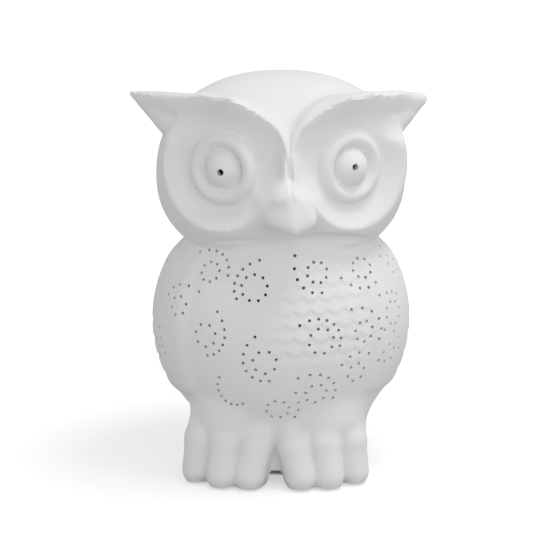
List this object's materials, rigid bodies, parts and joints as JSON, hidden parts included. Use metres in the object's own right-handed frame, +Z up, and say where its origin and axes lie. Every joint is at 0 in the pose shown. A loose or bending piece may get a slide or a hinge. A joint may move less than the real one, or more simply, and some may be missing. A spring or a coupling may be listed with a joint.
{
  "type": "pierced porcelain owl night light",
  "caption": "Hollow unglazed porcelain owl, pierced so that light shows through, with a battery light unit that twists into its open base.",
  "frame": {"origin": "on the resting surface, under the middle of the owl's bounding box", "axes": "+Z up, the owl faces -Y, +X is towards the owl's own left, which is the viewer's right from the front"},
  "size_m": [0.1922, 0.1606, 0.2652],
  "materials": {
    "bisque_porcelain": "unglazed, matte, fine grain",
    "white_abs": "moulded, satin",
    "opal_plastic": "moulded, milky",
    "felt": "pressed felt",
    "foam_rubber": "closed-cell foam",
    "plated_steel": "nickel plated",
    "cell_jacket": "shrink sleeve",
    "black_plastic": "moulded",
    "board_mask": "white solder mask",
    "led_lens": "clear silicone over phosphor",
    "black_pvc": "extruded insulation",
    "red_pvc": "extruded insulation"
  },
  "bodies": {
    "owl": {"porcelain_shell": "bisque_porcelain", "felt_pad_1": "felt", "felt_pad_2": "felt", "felt_pad_3": "felt", "felt_pad_4": "felt", "foam_gasket": "foam_rubber", "bayonet_collar": "white_abs"},
    "light_unit": {"battery_tray": "white_abs", "cell_1": "cell_jacket", "cell_2": "cell_jacket", "cell_3": "cell_jacket", "contact_spring_1": "plated_steel", "contact_spring_2": "plated_steel", "contact_spring_3": "plated_steel", "end_contact_negative": "plated_steel", "end_contact_positive": "plated_steel", "bridge_contact_front": "plated_steel", "bridge_contact_rear": "plated_steel", "switch_body": "black_plastic", "led_board": "board_mask", "led_1": "led_lens", "led_2": "led_lens", "led_3": "led_lens", "led_4": "led_lens", "driver_chip": "black_plastic", "diffuser_dome": "opal_plastic", "diffuser_screw_1": "plated_steel", "diffuser_screw_2": "plated_steel", "diffuser_screw_3": "plated_steel", "black_lead": "black_pvc", "red_lead_to_switch": "red_pvc", "red_lead_to_board": "red_pvc"},
    "door": {"battery_door": "white_abs"},
    "knob": {"switch_knob": "black_plastic"}
  },
  "joints": [
    {"name": "light_unit_twist", "type": "hinge", "parent": "owl", "child": "light_unit", "pos_m": [0.0041, 0.0104, 0.0086], "axis": [0, 0, -1], "range_deg": [0, 26]},
    {"name": "battery_door_hinge", "type": "hinge", "parent": "light_unit", "child": "door", "pos_m": [0.0041, 0.03455, 0.0046], "axis": [1, 0, 0], "range_deg": [0, 95]},
    {"name": "switch_slide", "type": "slide", "parent": "light_unit", "child": "knob", "axis": [0, 1, 0], "range_m": [0, 0.004]}
  ]
}
